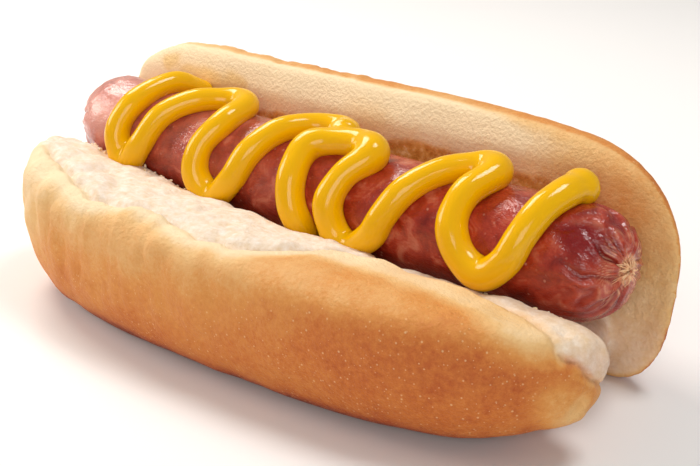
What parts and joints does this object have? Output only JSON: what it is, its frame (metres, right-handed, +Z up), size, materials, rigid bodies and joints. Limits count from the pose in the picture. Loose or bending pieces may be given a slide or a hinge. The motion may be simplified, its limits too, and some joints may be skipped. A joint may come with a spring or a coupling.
{
  "type": "hot dog",
  "caption": "Hot dog: a split soft roll lying open, holding one sausage with a thick zigzag bead of mustard piped over it.",
  "frame": {"origin": "under the middle of the whole hot dog, on the surface it lies on", "axes": "+X along the roll, +Y towards the half that stands up behind the sausage, +Z up"},
  "size_m": [0.1572, 0.0766, 0.0497],
  "materials": {
    "bun": "baked crust, golden brown with a pale torn crumb",
    "sausage": "cooked casing, moist and glossy",
    "mustard": "thick sauce, smooth and glossy"
  },
  "bodies": {
    "root": {"bun": "bun", "sausage": "sausage", "mustard": "mustard"}
  },
  "joints": []
}
